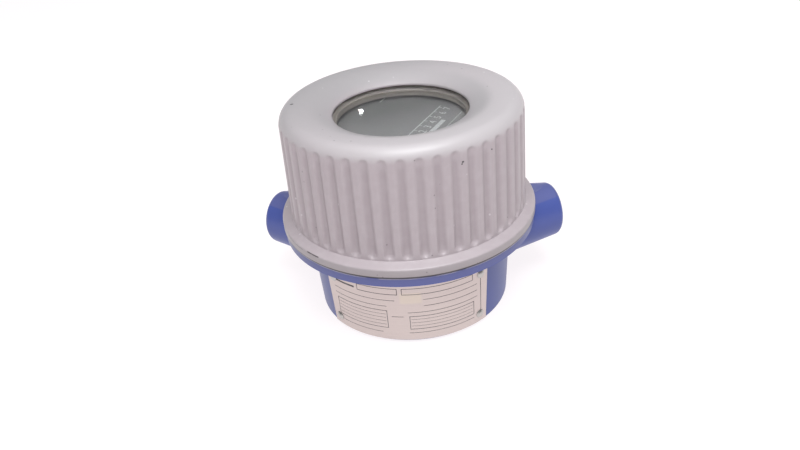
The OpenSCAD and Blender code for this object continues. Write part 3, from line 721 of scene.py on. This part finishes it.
def thread(name, tree, radius, rise, pitch, turns, foot, material, base=1.75, crest=0.6, steps=96):
    """A thread on a wall of the given radius; a rise under 0 points inwards."""
    piece = new_mesh(name, [(0, 0, 0)])
    shaped(piece, tree, {
        "Radius": radius * MM, "Rise": rise * MM, "Pitch": pitch * MM, "Turns": turns, "Steps": steps,
        "Foot height": foot * MM, "Crest width": crest * MM, "Base width": base * MM,
        "Sink": math.copysign(THREAD_SINK, rise) * MM}, material)
    face_outwards(piece)
    return piece


def entry_thread(side, tree, material):
    name = "entry_thread_right" if side > 0 else "entry_thread_left"
    foot = HUB_REACH - ENTRY_DEPTH + ENTRY_CLEAR
    piece = thread(name, tree, ENTRY_R, -ENTRY_RISE, ENTRY_PITCH, ENTRY_TURNS, foot, material,
                   base=1.2, crest=0.4, steps=64)
    piece.data.transform(hub_frame(side))
    face_outwards(piece)
    return piece


# Materials

def new_material(name):
    material = bpy.data.materials.new(name)
    material.use_nodes = True
    net = Net(material.node_tree)
    place = net.add("ShaderNodeTexCoord", out="Object")
    return material, net, place


def close_material(net, sockets):
    shader = net.add("ShaderNodeBsdfPrincipled", {}, sockets)
    net.add("ShaderNodeOutputMaterial", {}, {"Surface": shader})


def bumped(net, height, strength, distance, under=None):
    sockets = {"Height": height, "Strength": strength, "Distance": distance}
    if under is not None:
        sockets["Normal"] = under
    return net.add("ShaderNodeBump", {}, sockets)


def specks(net, place, scale, size, keep):
    """Sparse round specks: a mask that is 1 on them."""
    cell = net.add("ShaderNodeTexVoronoi", {}, {"Vector": place, "Scale": scale}, out="Distance")
    pick = net.add("ShaderNodeSeparateColor", {}, {"Color": cell.also("Color")})
    return (1 - net.ramp(cell, size * 0.5, size)) * (pick > 1 - keep)


def patch(net, place, centre, size, ragged):
    """A ragged spot round a point, in millimetres: a mask that is 1 inside."""
    away = net.add("ShaderNodeVectorMath", {"operation": "DISTANCE"},
                   {0: place, 1: tuple(c * MM for c in centre)}, out="Value")
    away = away / (size * MM) + (ragged - 0.5) * 1.6
    return 1 - net.ramp(away, 0.8, 1.1)


def crown_age_and_light(net, colour, x, y, height, out):
    """Older, greyer paint on the crown's left; on its right fresher paint with a painted highlight; painted
    shade on the dip's right slope, which faces away from the light.
    """
    side = net.ramp(x * 0.75 - y * 0.65, -0.050, 0.050)
    crown = net.ramp(height, 51, 55)
    slope = 1 - net.ramp(out, 38, 44)
    colour = net.blend(crown * (1 - side) * 0.9, colour, AGED_AND_SHADED_PAINT)
    # Painted highlight, with fresher paint, on the crown's right
    colour = net.blend(crown * side * 0.9, colour, FRESH_AND_LIT_PAINT)
    # Painted shade on the dip's right slope, which faces away from the light
    return net.blend(side * slope * 0.8, colour, AGED_AND_SHADED_PAINT)


def flute_shade_and_dust(net, height, out):
    """Painted shade with dust in the flutes' hollows, thinner towards their ends."""
    depth = skirt_r(height) - out
    return net.ramp(depth, 0.1, 1.2) * net.ramp(height, 8, 13) * (1 - net.ramp(height, 48, 51))


def flange_shade_and_dirt(net, colour, height, out):
    """Painted shade on the flange's upright face, and a painted shadow with dirt along the gap under it."""
    face = (1 - net.ramp(height, 3.6, 4.4)) * net.ramp(out, FLANGE_R - 0.8, FLANGE_R - 0.5)
    gap = (1 - net.ramp(height, 0.50, 0.85)) * net.ramp(out, FLANGE_R - 1.2, FLANGE_R - 0.5)
    colour = net.blend(face * 0.6, colour, FLANGE_FACE_SHADE)
    return net.blend(gap * 0.95, colour, GAP_SHADOW_AND_DIRT)


def flange_scratches(net, azimuth, height, out):
    """Dark scratches along the flange's upper edge: a mask for each."""
    edge = net.ramp(out, FLANGE_R - 1.0, FLANGE_R - 0.8)
    for first, last, low, high, strength in FLANGE_SCRATCHES:
        yield net.band(azimuth, first, last, 0.6) * net.band(height, low, high, 0.15) * edge * strength


def cover_paint():
    """Satin grey: painted shade with dust in the flutes, painted shade on the flange's face, a painted
    shadow with dirt along the gap, small chips, older paint on one side and a painted highlight on the
    other.
    """
    material, net, place = new_material("cover_paint_grey")
    x, y, z = net.parts(place)
    height = z / MM - COVER_Z
    out = net.from_axis(x, y)
    azimuth = net.maths("ARCTAN2", 0 - y, 0 - x) * (180 / math.pi)
    broad = net.noise(place, 35, 3)
    fine = net.noise(place, 900, 2)
    mottle = net.noise(place, 260, 3)
    colour = net.blend(broad, COVER_DARK, COVER_PALE)
    colour = net.blend(net.ramp(mottle, 0.35, 0.75) * 0.12, colour, COVER_MOTTLE)
    # Painted highlight and shade on the crown, shade in the flutes and on the flange, and a shadow along the
    # gap
    colour = crown_age_and_light(net, colour, x, y, height, out)
    colour = net.blend(flute_shade_and_dust(net, height, out) * 0.25, colour, FLUTE_SHADE_AND_DUST)
    colour = flange_shade_and_dirt(net, colour, height, out)
    chipped = specks(net, place, 420, 0.20, 0.035) * 0.5
    for centre, size in COVER_CHIPS:
        chipped = net.most(chipped, patch(net, place, centre, size, fine))
    broken = net.ramp(mottle, 0.30, 0.45)
    for scratch in flange_scratches(net, azimuth, height, out):
        chipped = net.most(chipped, scratch * broken)
    colour = net.blend(chipped, colour, CHIPPED)
    colour = net.blend(specks(net, place, 330, 0.22, 0.02) * 0.35, colour, PALE_SPECK)
    grain = bumped(net, fine, 0.25, 0.00006)
    grain = bumped(net, mottle, 0.12, 0.00025, grain)
    close_material(net, {"Base Color": colour, "Roughness": 0.31 + broad * 0.12, "Normal": grain,
                         "Specular IOR Level": 0.5})
    return material


def housing_paint():
    """Satin blue, faded on the rim's face with a painted sheen, worn pale along the rim's top edge, and with
    a painted contact shadow at the foot.
    """
    material, net, place = new_material("housing_paint_blue")
    x, y, z = net.parts(place)
    up = z / MM
    out = net.from_axis(x, y)
    broad = net.noise(place, 30, 3)
    fine = net.noise(place, 700, 2)
    colour = net.blend(broad, HOUSING_DARK, HOUSING_PALE)
    below_top = up - RIM_TOP
    # Greyer band on the rim's face: faded paint with a painted sheen
    rim = net.ramp(below_top, -4.2, -3.6) * (1 - net.ramp(below_top, 0, 0.4)) * net.ramp(out, 59, 61)
    colour = net.blend(rim * 0.25, colour, RIM_FADED_AND_SHEEN)
    worn = net.ramp(below_top, -0.55, -0.35) * rim * net.ramp(net.noise(place, 90, 3), 0.25, 0.5)
    colour = net.blend(worn * 0.7, colour, RIM_WORN)
    # Painted contact shadow round the foot
    foot = (1 - net.ramp(up, 0.3, 0.9)) * net.ramp(out, 47, 48)
    colour = net.blend(foot * 0.8, colour, FOOT_SHADOW)
    close_material(net, {"Base Color": colour, "Roughness": 0.30 + broad * 0.12,
                         "Normal": bumped(net, fine, 0.2, 0.00005)})
    return material


def steel(name, colour, roughness):
    material, net, place = new_material(name)
    grain = net.noise(place, 600, 3)
    stain = net.noise(place, 60, 3)
    tone = net.blend(stain, tuple(c * 0.85 for c in colour) + (1,), colour + (1,))
    close_material(net, {"Base Color": tone, "Metallic": 1.0, "Roughness": roughness + grain * 0.15,
                         "Normal": bumped(net, grain, 0.3, 0.00004)})
    return material


def plastic(name, colour, roughness):
    material, net, place = new_material(name)
    grain = net.noise(place, 900, 2)
    broad = net.noise(place, 50, 2)
    tone = net.blend(broad, tuple(c * 0.8 for c in colour) + (1,), tuple(c * 1.2 for c in colour) + (1,))
    close_material(net, {"Base Color": tone, "Roughness": roughness + grain * 0.15,
                         "Normal": bumped(net, grain, 0.3, 0.00004)})
    return material


def plate_steel():
    """Satin steel with a pinkish cast, brushed along, with a paler field left blank."""
    material, net, place = new_material("data_plate_satin")
    x, y, z = net.parts(place)
    along = net.maths("ARCTAN2", x, 0 - y) * PLATE_ARC_R
    up = z / MM
    field = net.band(along, -1.6, 6.8, 1.6) * net.band(up, 25.0, 29.6, 1.4)
    stain = net.noise(place, 45, 4)
    strokes = net.noise(net.add("ShaderNodeCombineXYZ", {}, {"X": along * 0.03, "Y": up * 2.0}), 1.0, 3)
    tone = net.blend(stain, (0.63, 0.545, 0.525, 1), (0.74, 0.645, 0.615, 1))
    tone = net.blend(strokes * 0.3, tone, (0.46, 0.40, 0.39, 1))
    tone = net.blend(field * 0.5, tone, (0.74, 0.65, 0.53, 1))
    close_material(net, {"Base Color": tone, "Metallic": 0.7, "Roughness": 0.40 + stain * 0.12,
                         "Normal": bumped(net, strokes, 0.2, 0.00003)})
    return material


def film_grey():
    """Printed film, with painted shade that darkens it away from the light."""
    material, net, place = new_material("label_film_grey")
    x, y, _ = net.parts(place)
    # Painted shade: darker towards the far left, where the lip's shadow falls
    painted_shade = net.ramp(0.4 * x - 0.8 * y, -0.020, 0.008)
    cloud = net.noise(place, 70, 3)
    tone = net.blend(painted_shade * 0.75 + cloud * 0.25, (0.20, 0.195, 0.20, 1), (0.37, 0.355, 0.365, 1))
    close_material(net, {"Base Color": tone, "Roughness": 0.45 + cloud * 0.1,
                         "Normal": bumped(net, net.noise(place, 1200, 2), 0.15, 0.00002)})
    return material


def washer_fibre():
    """Brownish fibre with paler cement towards the outside."""
    material, net, place = new_material("glass_washer_fibre")
    x, y, _ = net.parts(place)
    streak = net.noise(place, 120, 4)
    tone = net.blend(streak, (0.36, 0.31, 0.275, 1), (0.50, 0.45, 0.41, 1))
    tone = net.blend(net.ramp(net.from_axis(x, y), 30.5, 34.5), tone, (0.62, 0.56, 0.53, 1))
    close_material(net, {"Base Color": tone, "Roughness": 0.7 + streak * 0.1,
                         "Normal": bumped(net, streak, 0.3, 0.0001)})
    return material


def print_ink(name, colour, worn):
    """Printed or etched lines, rubbed thin in places."""
    material, net, place = new_material(name)
    rubbed = net.ramp(net.noise(place, 500, 3), 0.3, 0.7)
    tone = net.blend(rubbed * worn, colour + (1,), tuple(0.6 * c + 0.2 for c in colour) + (1,))
    close_material(net, {"Base Color": tone, "Roughness": 0.5 + rubbed * 0.2})
    return material


def window_glass():
    """Clear glass with a faint veil of dust."""
    material, net, place = new_material("window_glass_clear")
    veil = net.noise(place, 60, 3)
    close_material(net, {
        "Base Color": net.blend(veil, (0.955, 0.96, 0.955, 1), (0.98, 0.985, 0.98, 1)),
        "Roughness": 0.01 + veil * 0.02, "IOR": 1.5, "Transmission Weight": 1.0})
    return material


def floor_white():
    """A light table: white by itself, so that the object hardly throws a shadow on it."""
    material, net, place = new_material("floor_white")
    tone = net.blend(net.noise(place, 3, 2), (0.17, 0.165, 0.165, 1), (0.19, 0.185, 0.185, 1))
    close_material(net, {"Base Color": tone, "Roughness": 0.9, "Specular IOR Level": 0.2,
                         "Emission Color": (1.0, 0.955, 0.965, 1), "Emission Strength": 0.90})
    return material


# Stage

def camera():
    data = bpy.data.cameras.new("camera")
    data.lens = CAMERA_LENS
    data.sensor_width = CAMERA_SENSOR
    data.clip_start = 0.01
    piece = bpy.data.objects.new("camera", data)
    turn = Matrix.Rotation(CAMERA_TURN, 4, "Z") @ Matrix.Rotation(CAMERA_TILT, 4, "X")
    piece.matrix_world = Matrix.Translation(CAMERA_PLACE) @ turn @ Matrix.Rotation(CAMERA_ROLL, 4, "Z")
    scene.collection.objects.link(piece)
    scene.camera = piece


def softbox(name, place, aim, size, watts, colour):
    data = bpy.data.lights.new(name, "AREA")
    data.shape = "ELLIPSE"
    data.size, data.size_y = size
    data.energy = watts
    data.color = colour
    piece = bpy.data.objects.new(name, data)
    turn = (Vector(aim) - Vector(place)).to_track_quat("-Z", "Y").to_matrix().to_4x4()
    piece.matrix_world = Matrix.Translation(place) @ turn
    scene.collection.objects.link(piece)


def pale_room():
    """Dim light from all round, with a white band at the horizon behind the floor's edge."""
    world = bpy.data.worlds.new("room")
    scene.world = world
    world.use_nodes = True
    net = Net(world.node_tree)
    _, _, z = net.parts(net.add("ShaderNodeTexCoord", out="Generated"))
    strength = SKY_STRENGTH + HORIZON_STRENGTH * (1 - net.ramp(z, *HORIZON_FADE))
    sky = net.add("ShaderNodeBackground", {}, {"Color": (0.98, 0.985, 1.0, 1), "Strength": strength})
    net.add("ShaderNodeOutputWorld", {}, {"Surface": sky})


def stage():
    half = FLOOR_HALF
    floor = new_mesh("floor", [(-half, -half, 0), (half, -half, 0), (half, half, 0), (-half, half, 0)],
                     faces=[(0, 1, 2, 3)])
    floor.data.materials.append(floor_white())
    pale_room()
    for lamp in LAMPS:
        softbox(*lamp)
    scene.view_settings.view_transform = "Standard"


# The part

def paint_node(name, material):
    node = nodes[name]
    if not node.material_slots:
        node.data.materials.append(material)
    for slot in node.material_slots:
        slot.material = material


def place_piece(piece, body):
    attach(piece, body)
    return piece


def hub_frame(side):
    """Puts +Z along a hub's axis, with the origin beside the housing's centre line."""
    turn = Matrix.Rotation(HUB_SWEEP, 4, "Z") @ Matrix.Translation((0, -HUB_OFFSET * MM, HUB_Z * MM))
    turn = turn @ Matrix.Rotation(math.pi / 2, 4, "Y")
    return turn if side > 0 else Matrix.Scale(-1, 4, (1, 0, 0)) @ turn


grey = cover_paint()
blue = housing_paint()
bare = steel("machined_aluminium", (0.62, 0.60, 0.58), 0.35)
screws = steel("screw_steel_plain", (0.56, 0.54, 0.52), 0.30)
brass = steel("brass_plain", (0.72, 0.55, 0.28), 0.30)
rubber = plastic("seal_rubber_black", (0.03, 0.03, 0.03), 0.6)
case_black = plastic("case_black", (0.04, 0.04, 0.045), 0.45)
terminal_black = plastic("terminal_black", (0.03, 0.03, 0.035), 0.4)
board_green = plastic("board_green", (0.03, 0.20, 0.08), 0.25)
sleeve = plastic("capacitor_sleeve_blue", (0.04, 0.05, 0.16), 0.3)
film = film_grey()
gasket = plastic("window_gasket_brown", (0.13, 0.105, 0.095), 0.7)
plate = plate_steel()
glass = window_glass()
dark_ink = print_ink("plate_print_dark", (0.10, 0.085, 0.09), 0.5)
pale_ink = print_ink("label_print_pale", (0.84, 0.84, 0.86), 0.3)

finishes = {
    "housing": blue, "data_plate": plate, "plate_drive_screws": screws,
    "outer_ground_clamp": brass, "outer_ground_screw": screws,
    "inner_ground_clamp": brass, "inner_ground_screw": screws, "cover_lock_screw": screws,
    "window_gasket": gasket, "window_glass": glass, "glass_retaining_ring": bare, "cover_seal": rubber,
    "module_case": case_black, "module_base_plate": case_black, "module_screws": screws,
    "circuit_board": board_green, "isolation_transformer": case_black, "board_capacitors": sleeve,
    "board_chips": case_black, "terminal_pins": brass, "sensor_terminal_block": terminal_black,
    "loop_terminal_block": terminal_black, "terminal_clamps": brass, "terminal_screws": screws,
    "label_pillars": screws, "label_plate": bare, "window_label": film, "label_screws": screws,
}
for name, material in finishes.items():
    paint_node(name, material)

camera()
stage()

casting = fluted_cover(grey)
place_piece(casting, "cover_group")
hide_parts("cover")

thread_net = thread_tree()
neck_thread = thread("neck_thread", thread_net, THREAD_R, THREAD_RISE, THREAD_PITCH, NECK_TURNS,
                     THREAD_FOOT, blue)
place_piece(neck_thread, "root")
cover_thread = thread("cover_thread", thread_net, BORE_R, -THREAD_RISE, THREAD_PITCH, COVER_TURNS,
                      THREAD_FOOT + THREAD_PITCH / 2, grey)
place_piece(cover_thread, "cover_group")

for side in (1, -1):
    place_piece(hub_fillet(side, blue), "root")
    place_piece(entry_thread(side, thread_net, blue), "root")
place_piece(plate_print(dark_ink), "root")

place_piece(glass_washer(washer_fibre()), "cover_group")
film_disc = label_film(film)
place_piece(film_disc, "root")
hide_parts("window_label")
place_piece(label_print(pale_ink), "root")
